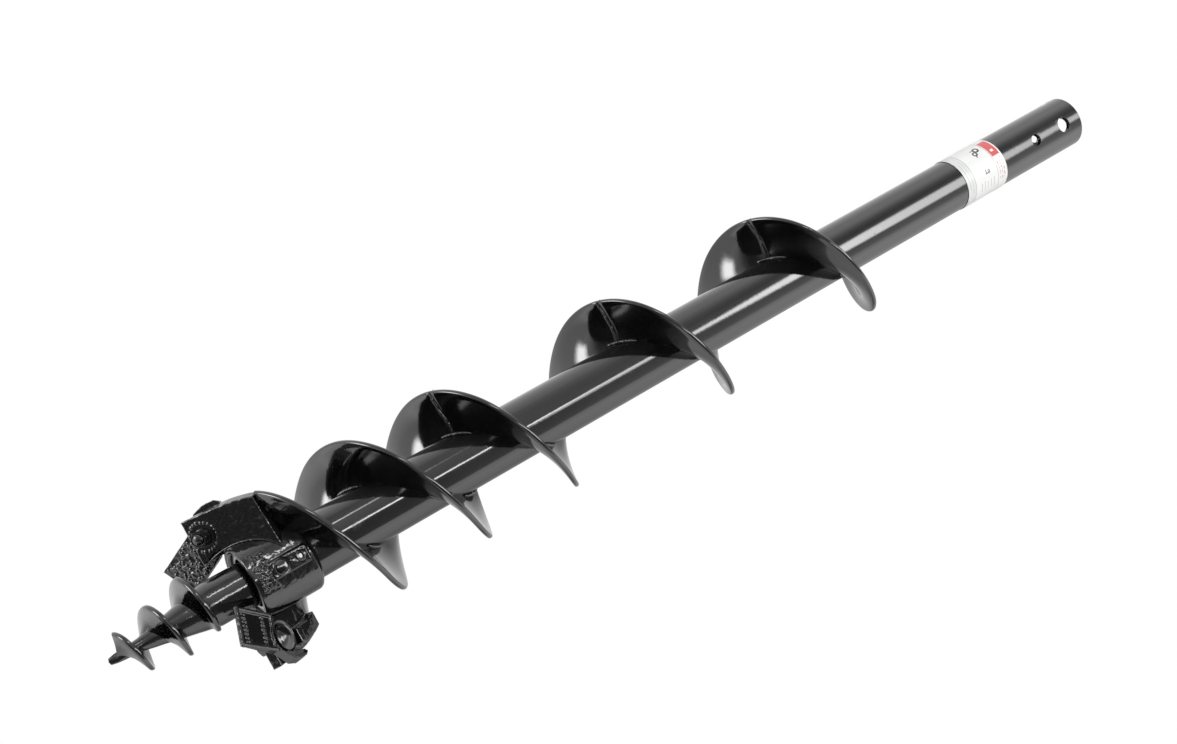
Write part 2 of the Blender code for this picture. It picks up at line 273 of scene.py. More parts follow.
def inset(outline, distance):
    """The outline with each corner moved inward by a distance from its two sides."""
    if not distance:
        return list(outline)
    result = []
    count = len(outline)
    for step in range(count):
        here = Vector(outline[step])
        before = (here - Vector(outline[step - 1])).normalized()
        after = (Vector(outline[(step + 1) % count]) - here).normalized()
        normal = Vector((-before.y - after.y, before.x + after.x)).normalized()
        spread = max(0.5, normal.dot(Vector((-after.y, after.x))))
        result.append(tuple(here + normal * (distance / spread)))
    return result


def tube_along(name, path, radii, sides=12):
    """A closed tube along a path, with a radius for each point."""
    shape = bmesh.new()
    rings = []
    count = len(path)
    for index, point in enumerate(path):
        ahead = path[min(index + 1, count - 1)] - path[max(index - 1, 0)]
        ahead.normalize()
        side = ahead.cross(Vector((0.3, 0.2, 1))).normalized()
        up = side.cross(ahead).normalized()
        ring = []
        for step in range(sides):
            angle = TAU * step / sides
            offset = side * math.cos(angle) + up * math.sin(angle)
            ring.append(shape.verts.new(point + offset * radii[index]))
        rings.append(ring)
    return skinned(name, shape, rings)


def polar(radius, angle, z):
    return Vector((radius * math.cos(angle), radius * math.sin(angle), z))


def keep(obj, slot_name, *nodes):
    """Makes the object a piece of the bit that stands for these CAD nodes."""
    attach(obj, "root")
    if nodes:
        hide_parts(*nodes)


def place(obj, name, material, matrix, angle, slot_name, *nodes):
    """Gives a finished shape its name, paint and place, and makes it a piece."""
    obj.name = name
    obj.data.materials.clear()
    obj.data.materials.append(material)
    moved(obj, matrix)
    keep(smooth(obj, angle), slot_name, *nodes)


# Materials


class Nodes:
    """A short way to write a material's nodes."""

    def __init__(self, name):
        self.material = bpy.data.materials.new(name)
        self.material.use_nodes = True
        self.tree = self.material.node_tree
        self.shader = self.tree.nodes["Principled BSDF"]
        self.place = self.add("ShaderNodeTexCoord").outputs["Object"]

    def add(self, kind, **values):
        node = self.tree.nodes.new(kind)
        for key, value in values.items():
            setattr(node, key, value)
        return node

    def fill(self, node, values):
        for name, value in values.items():
            self.link(value, node.inputs[name])

    def link(self, value, socket):
        if isinstance(value, bpy.types.NodeSocket):
            self.tree.links.new(value, socket)
        else:
            socket.default_value = value

    def math(self, operation, first, second=0.0, clamp=False):
        node = self.add("ShaderNodeMath", operation=operation, use_clamp=clamp)
        self.link(first, node.inputs[0])
        self.link(second, node.inputs[1])
        return node.outputs[0]

    def noise(self, scale, detail=3.0, roughness=0.5, distortion=0.0):
        node = self.add("ShaderNodeTexNoise")
        self.fill(node, {"Vector": self.place, "Scale": scale, "Detail": detail})
        self.fill(node, {"Roughness": roughness, "Distortion": distortion})
        return node.outputs["Fac"]

    def cells(self, scale):
        node = self.add("ShaderNodeTexVoronoi", feature="F1")
        self.fill(node, {"Vector": self.place, "Scale": scale})
        return node.outputs["Distance"]

    def span(self, value, low, high, to_low=0.0, to_high=1.0):
        node = self.add("ShaderNodeMapRange", clamp=True)
        self.fill(node, {"Value": value, "From Min": low, "From Max": high})
        self.fill(node, {"To Min": to_low, "To Max": to_high})
        return node.outputs["Result"]

    def mix(self, factor, first, second):
        node = self.add("ShaderNodeMix", data_type="RGBA")
        self.link(factor, node.inputs[0])
        self.link(first, node.inputs[6])
        self.link(second, node.inputs[7])
        return node.outputs[2]

    def bump(self, height, distance, strength=1.0, before=None):
        node = self.add("ShaderNodeBump")
        self.fill(node, {"Strength": strength, "Distance": distance, "Height": height})
        if before:
            self.link(before, node.inputs["Normal"])
        return node.outputs["Normal"]

    def edges(self):
        """Where the surface turns sharply outward, such as along an edge."""
        return self.span(self.add("ShaderNodeNewGeometry").outputs["Pointiness"], 0.52, 0.62)

    def set(self, name, value):
        self.link(value, self.shader.inputs[name])


def black_paint(name, roughness=0.075, peel=0.00003, cast_grain=0.0, edge_highlight_and_wear=0.35):
    """Glossy black paint on steel: orange peel, dust nibs, faint haze, and lighter edges that are a painted
    highlight with a little wear.
    """
    m = Nodes(name)
    shade = 0.0030
    broad = m.noise(9, 2)
    fine = m.noise(260, 3)
    nibs = m.span(m.cells(170), 0.10, 0.02)
    sparse = m.span(m.noise(38, 2), 0.60, 0.66)
    nibs = m.math("MULTIPLY", nibs, sparse)
    haze = m.span(m.noise(22, 5, 0.65), 0.52, 0.80)
    # Sharp edges get lighter, rougher paint. The lighter colour is a painted edge highlight, with a little
    # wear.
    highlit_worn_edges = m.math("MULTIPLY", m.edges(), m.span(m.noise(120, 4, 0.7), 0.50, 0.62))
    highlit_worn_edges = m.math("MULTIPLY", highlit_worn_edges, edge_highlight_and_wear)
    base = m.mix(broad, (shade * 0.8, shade * 0.82, shade * 0.8, 1), (shade * 1.15,) * 3 + (1,))
    dusty = m.mix(m.math("MULTIPLY", haze, 0.5), base, (0.010, 0.010, 0.0095, 1))
    # The grey mixed in on sharp edges is a painted highlight, with a little wear.
    m.set("Base Color", m.mix(highlit_worn_edges, dusty, (0.085, 0.083, 0.080, 1)))
    rough = m.span(m.noise(55, 4, 0.6), 0.35, 0.75, roughness * 0.85, roughness * 1.35)
    rough = m.math("ADD", rough, m.math("MULTIPLY", haze, 0.04))
    m.set("Roughness", m.math("ADD", rough, m.math("MULTIPLY", highlit_worn_edges, 0.5)))
    normal = m.bump(fine, peel)
    normal = m.bump(nibs, 0.00025, 0.5, normal)
    if cast_grain:
        normal = m.bump(m.noise(420, 4, 0.6), cast_grain, 1.0, normal)
        normal = m.bump(m.noise(110, 3, 0.5, 0.4), cast_grain * 2.2, 1.0, normal)
    m.set("Normal", normal)
    m.shader.inputs["Specular IOR Level"].default_value = 0.5
    m.shader.inputs["IOR"].default_value = 1.5
    return m.material


def near(m, value, centre, reach):
    """1 where a value is within reach of a centre."""
    return m.math("LESS_THAN", m.math("ABSOLUTE", m.math("SUBTRACT", value, centre)), reach)


def box_mask(m, along, down, centre, size):
    """1 inside a rectangle of the unrolled label, given its centre and size."""
    first = near(m, along, centre[0], size[0] / 2)
    second = near(m, down, centre[1], size[1] / 2)
    return m.math("MULTIPLY", first, second)


def label_film():
    """A white printed film. Its print is plain bars, rings and a red block."""
    m = Nodes("label_print")
    split = m.add("ShaderNodeSeparateXYZ")
    m.link(m.place, split.inputs[0])
    x, y, z = split.outputs
    angle = m.math("ARCTAN2", x, y)
    along = m.math("MULTIPLY", angle, TUBE_R)
    down = m.math("SUBTRACT", LABEL_HIGH.z, z)
    height = LABEL_HIGH.z - LABEL_LOW.z
    white = (0.80, 0.80, 0.79, 1)
    light = (0.66, 0.67, 0.66, 1)
    grey = (0.36, 0.36, 0.36, 1)
    dark = (0.045, 0.045, 0.048, 1)
    red = (0.60, 0.095, 0.10, 1)
    colour = m.mix(m.noise(60, 3), white, (0.76, 0.76, 0.755, 1))
    tip_band = m.math("GREATER_THAN", down, height - 0.0125)
    colour = m.mix(tip_band, colour, light)
    for line_at in (0.0146, height - 0.0125):
        colour = m.mix(near(m, down, line_at, 0.00035), colour, grey)
    block = box_mask(m, along, down, (0.0205, 0.0078), (0.0250, 0.0112))
    colour = m.mix(block, colour, red)
    colour = m.mix(box_mask(m, along, down, (0.0150, 0.0082), (0.0032, 0.0040)), colour, white)
    for index, low in enumerate((0.0045, 0.0080, 0.0112)):
        stripe = box_mask(m, along, down, (-0.0080, low), (0.0250, 0.0013))
        broken = m.math("GREATER_THAN", m.noise(520 + 60 * index, 1), 0.50)
        tint = (0.55, 0.16, 0.16, 1) if index != 1 else grey
        colour = m.mix(m.math("MULTIPLY", stripe, broken), colour, tint)
    for at, low, radius in ((0.0250, 0.0235, 0.0040), (0.0205, 0.0290, 0.0034), (-0.0030, 0.0270, 0.0017)):
        wide = m.math("POWER", m.math("SUBTRACT", along, at), 2.0)
        tall = m.math("POWER", m.math("SUBTRACT", down, low), 2.0)
        far = m.math("SQRT", m.math("ADD", wide, tall))
        colour = m.mix(near(m, far, radius * 0.72, radius * 0.28), colour, dark)
    bars = (
        (0.0225, 0.0262, 0.0030, 0.0012),
        (0.0170, 0.0300, 0.0040, 0.0014),
        (-0.0050, 0.0292, 0.0012, 0.0068),
        (-0.0030, 0.0312, 0.0050, 0.0012),
        (0.0265, 0.0285, 0.0012, 0.0050),
    )
    for at, low, wide, tall in bars:
        colour = m.mix(box_mask(m, along, down, (at, low), (wide, tall)), colour, dark)
    for step in range(5):
        size = (0.0120 - 0.0016 * (step % 3), 0.0009)
        row = box_mask(m, along, down, (-0.018, 0.0215 + 0.0048 * step), size)
        colour = m.mix(m.math("MULTIPLY", row, 0.8), colour, grey)
    for step in range(2):
        size = (0.0420 - 0.009 * step, 0.0008)
        row = box_mask(m, along, down, (0.002, height - 0.0085 + 0.0042 * step), size)
        colour = m.mix(m.math("MULTIPLY", row, 0.55), colour, grey)
    m.set("Base Color", colour)
    m.set("Roughness", m.span(m.noise(90, 3), 0.3, 0.7, 0.34, 0.46))
    m.set("Normal", m.bump(m.noise(210, 2), 0.00002))
    return m.material


# Tube and label


def make_tube():
    """The tube with rolled ends and deburred pin holes."""
    r, b, lip = TUBE_R, TUBE_BORE_R, 0.0007
    outer = [(r, z) for z in [-0.006 * step for step in range(1, 16)]]
    outer += [(r, -0.1 - 0.05 * step) for step in range(20)]
    profile = [
        *corner(r - lip, -lip, lip, 90, 0, 4),
        *outer,
        *corner(r - 0.001, TUBE_END_Z + 0.001, 0.001, 0, -90, 3),
        *corner(b + 0.001, TUBE_END_Z + 0.001, 0.001, 270, 180, 3),
        (b, -0.3), (b, -0.095), (b, -0.010),
        *corner(b + lip, -lip, lip, 180, 90, 3),
    ]
    tube = turned("tube", profile, 160, closed=True)
    pin_holes = [(-depth, radius, turn) for depth, radius, turn in DRIVE_HOLES]
    pin_holes.append((PILOT_PIN_Z, PILOT_PIN_HOLE_R, HEAD_TURN))
    for z, radius, turn in pin_holes:
        drill = rod("drill", radius, 0.05, -0.05, 56)
        moved(drill, Matrix.Rotation(turn, 4, "Z") @ Matrix.Rotation(math.pi / 2, 4, "X"))
        moved(drill, Matrix.Translation((0, 0, z)))
        boolean(tube, "DIFFERENCE", drill)
    bevelled(tube, 0.0006, 3, 50)
    tube.name = "tube_painted"
    tube.data.materials.append(PAINT)
    tube.data.shade_smooth()
    round_normals(tube.data)
    keep(tube, "gloss_black_paint", "shaft_tube")


def round_normals(mesh):
    """True cylinder normals on the tube's long faces, so that holes don't disturb the reflections."""
    normals = []
    mesh.update()
    for polygon in mesh.polygons:
        for loop in polygon.loop_indices:
            point = mesh.vertices[mesh.loops[loop].vertex_index].co
            radial = Vector((point.x, point.y, 0)).normalized()
            facing = polygon.normal.dot(radial)
            far = math.hypot(point.x, point.y)
            if facing > 0.985 and abs(far - TUBE_R) < 0.0002:
                normals.append(radial)
            elif facing < -0.985 and abs(far - TUBE_BORE_R) < 0.0002:
                normals.append(-radial)
            else:
                normals.append(mesh.loops[loop].normal.copy())
    mesh.normals_split_custom_set(normals)


def make_label():
    """A film wrapped most of the way round, with rounded corners."""
    radius = TUBE_R + 0.00032
    half = math.radians(150)
    steps, rows = 240, 40
    low, high = LABEL_LOW.z + SKIN, LABEL_HIGH.z - SKIN
    rounding = 0.004
    shape = bmesh.new()
    grid = []
    for row in range(rows + 1):
        z = low + (high - low) * row / rows
        from_corner = max(0.0, rounding - min(z - low, high - z))
        trim = rounding - math.sqrt(max(0.0, rounding**2 - from_corner**2))
        line = []
        for step in range(steps + 1):
            limit = half - trim / radius
            angle = math.pi / 2 + max(-limit, min(limit, -half + 2 * half * step / steps))
            line.append(shape.verts.new(polar(radius, angle, z)))
        grid.append(line)
    for lower, upper in zip(grid, grid[1:]):
        for step in range(steps):
            shape.faces.new((lower[step], lower[step + 1], upper[step + 1], upper[step]))
    bmesh.ops.dissolve_degenerate(shape, dist=1e-6, edges=shape.edges)
    label = new_object("label_wrap", to_mesh("label_wrap", shape), label_film())
    sheet = label.modifiers.new("Sheet", "SOLIDIFY")
    sheet.thickness = 0.00022
    sheet.offset = 1
    baked(label)
    keep(smooth(label, 40), "label_film", "label")


# Flighting


def flight_slope(radius):
    """The rise of the helicoid in metres for each radian, over the metres travelled at that radius."""
    return FLIGHT_PITCH / TAU / radius


def flight_profile(outer, inner, half):
    """(radius, offset along Z) points round a flight's section, with a rounded rim."""
    points = []
    rounding = half * 0.82
    for step in range(9):
        radius = inner + (outer - rounding - inner) * step / 8
        points.append((radius, -half))
    for step in range(1, 8):
        angle = math.radians(-90 + 180 * step / 8)
        points.append((outer - rounding + rounding * math.cos(angle), half * math.sin(angle)))
    for step in range(9):
        radius = outer - rounding + (inner - outer + rounding) * step / 8
        points.append((radius, half))
    return points


def make_flight(name, start, end, start_z, nodes, round_end=0.0, slants=(0.0, 0.0)):
    """A helical flight from one angle to another in degrees, with a wavy cold-formed face.

    Slants say how many degrees its rim lags behind its root at each end.
    """
    turns = (end - start) / 360
    steps = max(8, round(turns * 150))
    half = FLIGHT_THICKNESS / 2
    inner = TUBE_R - GAP
    shape = bmesh.new()
    rings = []
    for step in range(steps + 1):
        share = step / steps
        angle = math.radians(start + (end - start) * share)
        z = start_z + FLIGHT_PITCH * turns * share
        before_end = (1 - share) * turns * TAU * FLIGHT_R
        outer = FLIGHT_R
        if before_end < round_end:
            outer -= round_end - math.sqrt(max(0.0, round_end**2 - (round_end - before_end) ** 2))
        squeeze = 1.0 if 0 < step < steps else 0.72
        ring = []
        for radius, offset in flight_profile(outer - 0.00025, inner, half):
            lean = math.sqrt(1 + flight_slope(max(radius, TUBE_R)) ** 2)
            wave = noise.noise(Vector((math.cos(angle) * 2.2, math.sin(angle) * 2.2, z * 26 + radius * 20)))
            reach = (radius - inner) / (FLIGHT_R - inner)
            lift = offset * lean * squeeze + wave * 0.0005 * reach
            lag = math.radians(slants[0] + (slants[1] - slants[0]) * share) * reach
            ring.append(shape.verts.new(polar(radius, angle - lag, z - FLIGHT_PITCH * lag / TAU + lift)))
        rings.append(ring)
    place(skinned(name, shape, rings), name, PAINT, HEAD, 40, "gloss_black_paint", *nodes)


def bead(name, path, radius, ripple, slot_name="gloss_black_paint"):
    """A weld bead along a path, with ripples and a soft start and stop."""
    radii = []
    count = len(path)
    for index in range(count):
        share = index / (count - 1)
        ends = min(1.0, math.sin(math.pi * share) ** 0.35 + 0.02) if 0 < share < 1 else 0.25
        wobble = 1 + ripple * noise.noise(Vector((index * 0.55, radius * 900, path[0].z * 50)))
        wobble += 0.10 * math.sin(index * 2.1)
        radii.append(radius * ends * wobble)
    place(tube_along(name, path, radii), name, WELD, Matrix.Identity(4), 60, slot_name)


def flight_point(start, start_z, angle, radius, side):
    """A point on a flight's face at an angle in degrees. Side is 1 on the drive side, -1 on the tip side."""
    z = start_z + FLIGHT_PITCH * (angle - start) / 360
    lean = math.sqrt(1 + flight_slope(radius) ** 2)
    return HEAD @ polar(radius, math.radians(angle), z + side * FLIGHT_THICKNESS / 2 * lean)


def make_seam(number, angle):
    """The radial weld where two flight sections meet, on both faces."""
    for side, label in ((-1, "tip"), (1, "drive")):
        path = []
        steps = 44
        for step in range(steps + 1):
            radius = TUBE_R + 0.0012 + (FLIGHT_R - 0.0016 - TUBE_R) * step / steps
            wander = 0.5 * noise.noise(Vector((radius * 260, angle, side)))
            wander += 0.35 * math.sin(radius * 190 + angle)
            spot = angle - SEAM_SLANT * step / steps + wander * 0.075 / radius
            path.append(flight_point(FLIGHT_START, FLIGHT_START_Z, spot, radius, side))
        bead(f"seam_weld_{number}_{label}", path, 0.0015, 0.4)


def make_root_weld(name, start, start_z, first, last, side, size):
    """A fillet bead along the root of a flight, from one angle to another."""
    path = []
    steps = max(10, round((last - first) * 1.1))
    for step in range(steps + 1):
        angle = first + (last - first) * step / steps
        spot = flight_point(start, start_z, angle, TUBE_R + size * 0.45, side)
        spot.z += side * size * 0.30
        path.append(spot)
    bead(name, path, size, 0.25)


def make_flights():
    for number in range(4):
        start = FLIGHT_START + 360 * number
        end = min(start + 360, FLIGHT_END)
        z = FLIGHT_START_Z + FLIGHT_PITCH * number
        last = number == 3
        make_flight(
            f"flighting_{number + 1}", start, end, z, [f"flight_section_{number + 1}"],
            round_end=0.006 if last else 0.0,
            slants=(SEAM_SLANT if number else 0.0, 0.0 if last else SEAM_SLANT),
        )
    make_flight("flighting_starter", FLIGHT_START + 180, FLIGHT_START + 540, STARTER_START_Z,
                ["starter_flight"], round_end=0.004)
    for number in range(1, 4):
        make_seam(number, FLIGHT_START + 360 * number)
    main = (FLIGHT_START, FLIGHT_START_Z)
    starter = (FLIGHT_START + 180, STARTER_START_Z)
    stitch = 0
    for turn in range(4):
        base = FLIGHT_START + 360 * turn
        for offset, length in ((-16, 40), (118, 26), (236, 26)):
            first = max(FLIGHT_START + 6, base + offset)
            last = min(base + offset + length, FLIGHT_END - 1)
            if last - first < 8:
                continue
            for side in (-1, 1):
                stitch += 1
                make_root_weld(f"root_weld_{stitch}", *main, first, last, side, 0.0021)
    for first, last in ((230, 268), (350, 380), (470, 496), (520, 563)):
        for side in (-1, 1):
            stitch += 1
            make_root_weld(f"root_weld_{stitch}", *starter, first, last, side, 0.0021)
    make_root_weld("end_weld_top", *main, FLIGHT_END - 22, FLIGHT_END - 0.5, 1, 0.0024)


# Head casting


def chance(*keys):
    """A repeatable number from 0 to 1."""
    spot = Vector([float(key) * 7.31 + 0.17 for key in (*keys, 0, 0, 0)[:3]])
    return (math.sin(spot.x * 12.9898 + spot.y * 78.233 + spot.z * 37.719) * 43758.5453) % 1.0


def block_at(shape, centre, size, turn, frame_matrix=Matrix.Identity(4)):
    """A small bar added to a shape, in a frame whose Z points out of the surface."""
    made = bmesh.ops.create_cube(shape, size=1)["verts"]
    matrix = frame_matrix @ Matrix.Translation(centre) @ Matrix.Rotation(turn, 4, "Z")
    bmesh.ops.transform(shape, matrix=matrix @ Matrix.Diagonal((*size, 1)), verts=made)


def collar_point(angle, z):
    """A frame on the collar's outside with X round it, Y up it and Z out of it."""
    out = Vector((math.cos(angle), math.sin(angle), 0))
    around = Vector((-math.sin(angle), math.cos(angle), 0))
    matrix = Matrix.Identity(4)
    for row in range(3):
        matrix[row][0] = around[row]
        matrix[row][1] = (0, 0, 1)[row]
        matrix[row][2] = out[row]
        matrix[row][3] = out[row] * COLLAR_R + (0, 0, z)[row]
    return matrix


def make_collar():
    """The cast collar with its pad, its pin and screw holes and a rough raised band near the mouth."""
    bore = TUBE_R + SKIN
    top, bottom = COLLAR_TOP - SKIN, COLLAR_BOTTOM + SKIN
    outer = COLLAR_R - SKIN
    shoulder = 0.0055
    profile = [
        (bore, top),
        *corner(outer - shoulder, top - shoulder, shoulder, 82, 0, 6),
        (outer, -1.045), (outer, -1.060),
        *corner(outer - 0.0018, bottom + 0.0018, 0.0018, 0, -90, 5),
        (outer - 0.0026, bottom), (outer - 0.0034, bottom + 0.0013), (outer - 0.0044, bottom + 0.0013),
        (outer - 0.0050, bottom + 0.0004), (outer - 0.0056, bottom + 0.0004),
        (bore, bottom + 0.0026), (bore, -1.045),
    ]
    collar = turned("collar", profile, 160, closed=True)
    depth = 0.007
    reach = COLLAR_R + PAD_RISE - SKIN
    half, cut = PAD_WIDTH / 2, 0.002
    outline = [
        (-half, PAD_BOTTOM + cut), (-half + cut, PAD_BOTTOM),
        (half - cut, PAD_BOTTOM), (half, PAD_BOTTOM + cut),
        (half, PAD_TOP - cut), (half - cut, PAD_TOP),
        (-half + cut, PAD_TOP), (-half, PAD_TOP - cut),
    ]
    pad = plate("pad", outline, reach - depth, reach, 0.0015)
    facing = Matrix(((1, 0, 0, 0), (0, 0, 1, 0), (0, 1, 0, 0), (0, 0, 0, 1)))
    moved(pad, facing)
    draft = Matrix.Rotation(math.radians(3.5), 4, "Z")
    moved(pad, Matrix.Translation((0, reach - 0.0004, 0)) @ draft @ Matrix.Translation((0, -reach, 0)))
    pad.data.flip_normals()
    boolean(collar, "UNION", pad)
    shape = bmesh.new()
    for index in range(84):
        angle = math.radians(54 + 58 * chance(index, 1))
        z = -1.0745 + 0.0135 * chance(index, 2)
        size = (0.0009 + 0.0021 * chance(index, 3), 0.0010 + 0.0018 * chance(index, 4), 0.0027)
        block_at(shape, (0, 0, 0), size, TAU * chance(index, 5), collar_point(angle, z))
    add_lumps(collar, shape)
    cast(collar, 0.00055, 2)
    pin_hole = (PILOT_PIN_Z, PILOT_PIN_HOLE_R)
    for z, radius, way in ((SET_SCREW_Z, 0.0055, -1), (*pin_hole, -1), (*pin_hole, 1)):
        drill = rod("drill", radius, 0.045, 0.02, 40)
        boolean(collar, "DIFFERENCE", moved(drill, across(z, way)))
    roughen(collar.data, 0.00012, 160)
    place(collar, "collar_casting", CASTING, HEAD, 50, "painted_casting", "head_collar")


def roughen(mesh, height, scale):
    """Moves each point a little along its normal, as a sand casting's skin lies."""
    mesh.update()
    shifts = []
    for vertex in mesh.vertices:
        wave = noise.fractal(vertex.co * scale, 0.9, 2.0, 3)
        shifts.append(vertex.co + vertex.normal * (wave * height))
    for vertex, place in zip(mesh.vertices, shifts):
        vertex.co = place


# Wing plates and teeth


def side_matrix(turn):
    """A frame on the wing plate's underside: X outward, Y up the slope, Z toward the drive end."""
    tilt = Matrix.Rotation(WING_PITCH, 4, "X")
    return HEAD @ Matrix.Rotation(turn, 4, "Z") @ Matrix.Translation((0, 0, WING_Z)) @ tilt


def seat_matrix(letter, turn):
    return side_matrix(turn) @ Matrix.Translation(TOOTH_BOLT) @ Matrix.Rotation(TOOTH_SKEW[letter], 4, "Z")


def wing_rim(y, inward=0.0):
    """How far out the flighting's rim lies on the plate, at a distance up its slope."""
    return math.sqrt((FLIGHT_R - SKIN) ** 2 - (y * math.cos(WING_PITCH)) ** 2) - inward


def make_wing(letter, turn):
    """A cast wing plate with its shoulder block, a ring of dots round the bolt and soft edges."""
    trailing = WING_TRAILING - SKIN
    leading = WING_LEADING + SKIN
    rim = [(wing_rim(trailing * step / 16), trailing * step / 16) for step in range(17)]
    outline = [(WING_INNER_X, leading), (WING_CORNER_R - GAP, leading), *rim]
    outline += [(0.002, WING_TRAILING_INNER), (0.002, 0.002), (WING_INNER_X, 0.002)]
    wing = plate("wing", outline, SKIN, WING_THICKNESS)
    for vertex in wing.data.vertices:
        if vertex.co.z < 0.001 and vertex.co.x > 0.05:
            vertex.co.x -= 0.0026 * max(0.0, min(1.0, (vertex.co.y - WING_LEADING) / 0.04))
    base = [(0.0530, 0.0040), (0.0685, 0.0040)]
    for y, inward in ((0.0102, 0.0030), (0.024, 0.0028), (0.034, 0.0028), (0.0446, 0.0030)):
        base.append((wing_rim(y, inward), y))
    base += [(0.0486, 0.0446), (0.0530, 0.0275)]
    boolean(wing, "UNION", plate("block", base, 0.004, BLOCK_TOP, 0.0014))
    dots = bmesh.new()
    for index in range(22):
        angle = TAU * (index + 0.4 * chance(index, turn)) / 22
        radius = 0.0128 + 0.0012 * chance(index, 7, turn)
        spot = (TOOTH_BOLT.x + radius * math.cos(angle), TOOTH_BOLT.y + radius * math.sin(angle), 0.0)
        if spot[1] > leading + 0.0015:
            size = 0.0009 + 0.0006 * chance(index, 3, turn)
            block_at(dots, spot, (size, size, 0.0010), angle)
    room = rod("room", COLLAR_R + SKIN, COLLAR_TOP + 0.01, COLLAR_BOTTOM - GAP, 128)
    boolean(wing, "DIFFERENCE", moved(room, side_matrix(turn).inverted() @ HEAD))
    add_lumps(wing, dots)
    cast(wing, 0.0006, 3)
    hole = rod("hole", BOLT_HOLE_R, 0.03, -0.03, 40)
    boolean(wing, "DIFFERENCE", moved(hole, Matrix.Translation((TOOTH_BOLT.x, TOOTH_BOLT.y, 0))))
    roughen(wing.data, 0.00030, 48)
    roughen(wing.data, 0.00015, 150)
    name = f"wing_casting_{letter}"
    place(wing, name, CASTING, side_matrix(turn), 50, "painted_casting", f"wing_plate_{letter}")
    path = []
    for step in range(61):
        angle = math.radians(-33 + 99 * step / 60)
        reach = COLLAR_R + 0.0004
        up_slope = reach * math.sin(angle) / math.cos(WING_PITCH)
        path.append(side_matrix(turn) @ Vector((reach * math.cos(angle), up_slope, SKIN)))
    bead(f"wing_fillet_{letter}", path, 0.00095, 0.2, "painted_casting")


def tooth_blade():
    """The blade's outline round the bolt, with its cutting edge at -Y."""
    return [(-0.0205, -0.0580), (0.0165, -0.0605), (0.0150, -0.0120), (-0.0205, -0.0100)]


def round_rim(shape, outline, radius, z):
    """A round bead along each side of an outline, with a ball at each corner."""
    for step, here in enumerate(outline):
        start, end = Vector((*here, z)), Vector((*outline[(step + 1) % len(outline)], z))
        side = end - start
        size = {"radius1": radius, "radius2": radius, "depth": side.length}
        made = bmesh.ops.create_cone(shape, cap_ends=True, segments=16, **size)["verts"]
        turn = side.to_track_quat("Z", "Y").to_matrix().to_4x4()
        bmesh.ops.transform(shape, matrix=Matrix.Translation((start + end) / 2) @ turn, verts=made)
        made = bmesh.ops.create_uvsphere(shape, u_segments=16, v_segments=10, radius=radius)["verts"]
        bmesh.ops.translate(shape, verts=made, vec=start)


def make_tooth(letter, turn):
    """A cast tooth: a blade with a raised rim and a rough recess, an eye for the bolt and a hooked lobe."""
    blade = tooth_blade()
    eye = corner(0, 0, 0.0168, 62, 195, 14)
    hook = [(0.0220, 0.0062), (0.0200, 0.0180), (0.0142, 0.0290), (0.0095, 0.0320), (0.0050, 0.0303)]
    body = [blade[0], blade[1], blade[2], *hook, *eye, blade[3]]
    face = TOOTH_THICKNESS
    tooth = plate("tooth", body, SKIN, face - 0.0022, 0.0014)
    boolean(tooth, "UNION", plate("rim", blade, 0.001, face - 0.0010, 0.0006))
    recess = plate("recess", inset(blade, 0.0030), face - 0.0022, face + 0.0010, -0.0010)
    boolean(tooth, "DIFFERENCE", recess)
    eye_ring = [
        (0.0148, face), (0.0158, face), (0.0169, 0.001),
        (0.0100, 0.001), (0.0100, face - 0.0012), (0.0140, face - 0.0012),
    ]
    boolean(tooth, "UNION", turned("eye", eye_ring, 64, closed=True))
    lobe = [
        (0.0150, -0.0110), (0.0218, 0.0062), (0.0198, 0.0178), (0.0141, 0.0287), (0.0095, 0.0316),
        (0.0055, 0.0300), (0.0100, 0.0258), (0.0148, 0.0160), (0.0160, 0.0062), (0.0118, -0.0110),
    ]
    boolean(tooth, "UNION", plate("lobe", lobe, 0.001, face, 0.0016))
    taper = math.atan2(0.0040, 0.048)
    wedge = plate("wedge", [(-0.04, -0.09), (0.04, -0.09), (0.04, 0), (-0.04, 0)], -0.02, 0)
    moved(wedge, Matrix.Translation((0, -0.0100, 0)) @ Matrix.Rotation(-taper, 4, "X"))
    boolean(tooth, "DIFFERENCE", wedge)
    shape = bmesh.new()
    round_rim(shape, inset(blade, 0.0019), 0.0019, face - 0.0019)
    for row, y in ((0, -0.0492), (1, -0.0245)):
        for index in range(8):
            x = -0.0150 + 0.0036 * index
            for part in range(2):
                shift = 0.0030 * (part - 0.5) + 0.0012 * (chance(index, row, part) - 0.5)
                spot = (x + 0.0008 * chance(index, part, 2), y + shift, face - 0.0018)
                wide = 0.0009 + 0.0012 * chance(index, 3, part)
                tall = 0.0011 + 0.0016 * chance(index, row, 5)
                block_at(shape, spot, (wide, tall, 0.0018), 0.8 * chance(row, index, part))
    skew = TOOTH_SKEW[letter]
    for index in range(120):
        x, y = -0.0185 + 0.0320 * chance(index, 11), -0.0560 + 0.0400 * chance(index, 12)
        if TOOTH_BOLT.y + x * math.sin(skew) + y * math.cos(skew) > WING_LEADING - 0.001:
            continue
        size = (0.0008 + 0.0012 * chance(index, 13), 0.0008 + 0.0012 * chance(index, 14), 0.0012)
        spot = (x, y, -(y + 0.0100) * math.tan(taper))
        block_at(shape, spot, size, TAU * chance(index, 15))
    add_lumps(tooth, shape)
    cast(tooth, 0.0005, 2)
    boolean(tooth, "DIFFERENCE", rod("hole", BOLT_HOLE_R, 0.03, -0.03, 40))
    roughen(tooth.data, 0.00014, 190)
    seat = seat_matrix(letter, turn)
    place(tooth, f"tooth_casting_{letter}", TOOTH, seat, 50, "painted_casting", f"tooth_{letter}")


